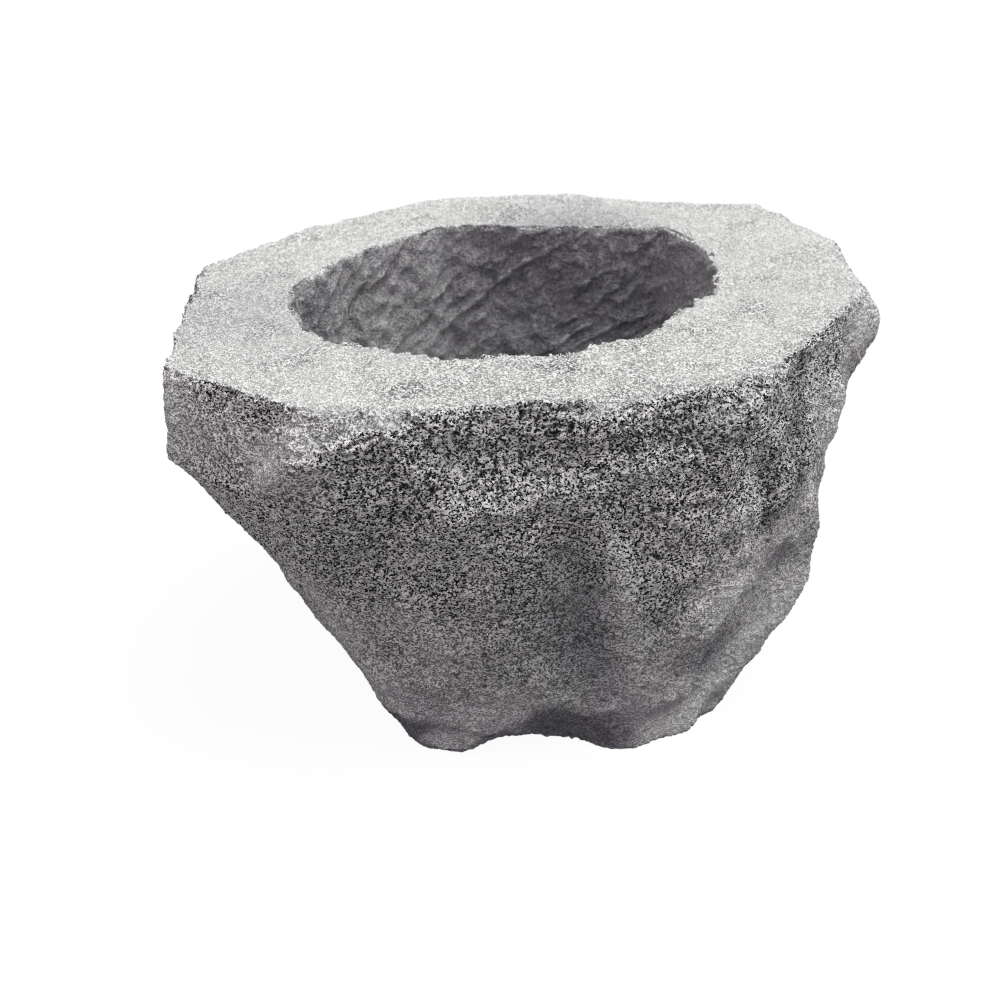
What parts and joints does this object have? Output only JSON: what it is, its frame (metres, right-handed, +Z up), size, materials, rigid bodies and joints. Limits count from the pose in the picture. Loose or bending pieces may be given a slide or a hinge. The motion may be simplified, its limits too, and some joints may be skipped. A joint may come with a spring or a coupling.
{
  "type": "molcajete",
  "caption": "Small mortar hewn from one block of grey basalt, with a flat rim, a chiselled bowl and stubby carved feet, and a loose stone pestle lying in the bowl.",
  "frame": {"origin": "on the ground, under the middle of the mortar's bounding box", "axes": "+Z up out of the bowl, -Y towards the broad upright front face with the prow at its left, +X to the right of that face"},
  "size_m": [0.104, 0.1028, 0.056],
  "materials": {
    "mortar_stone": "rough, pitted vesicular basalt",
    "tejolote_stone": "rough basalt, worn smoother at the working end"
  },
  "bodies": {
    "mortar": {"mortar": "mortar_stone"},
    "tejolote": {"tejolote": "tejolote_stone"}
  },
  "joints": [
    {"name": "tejolote_lift", "type": "slide", "parent": "mortar", "child": "tejolote", "axis": [0, 0, 1], "range_m": [0, 0.06]}
  ]
}
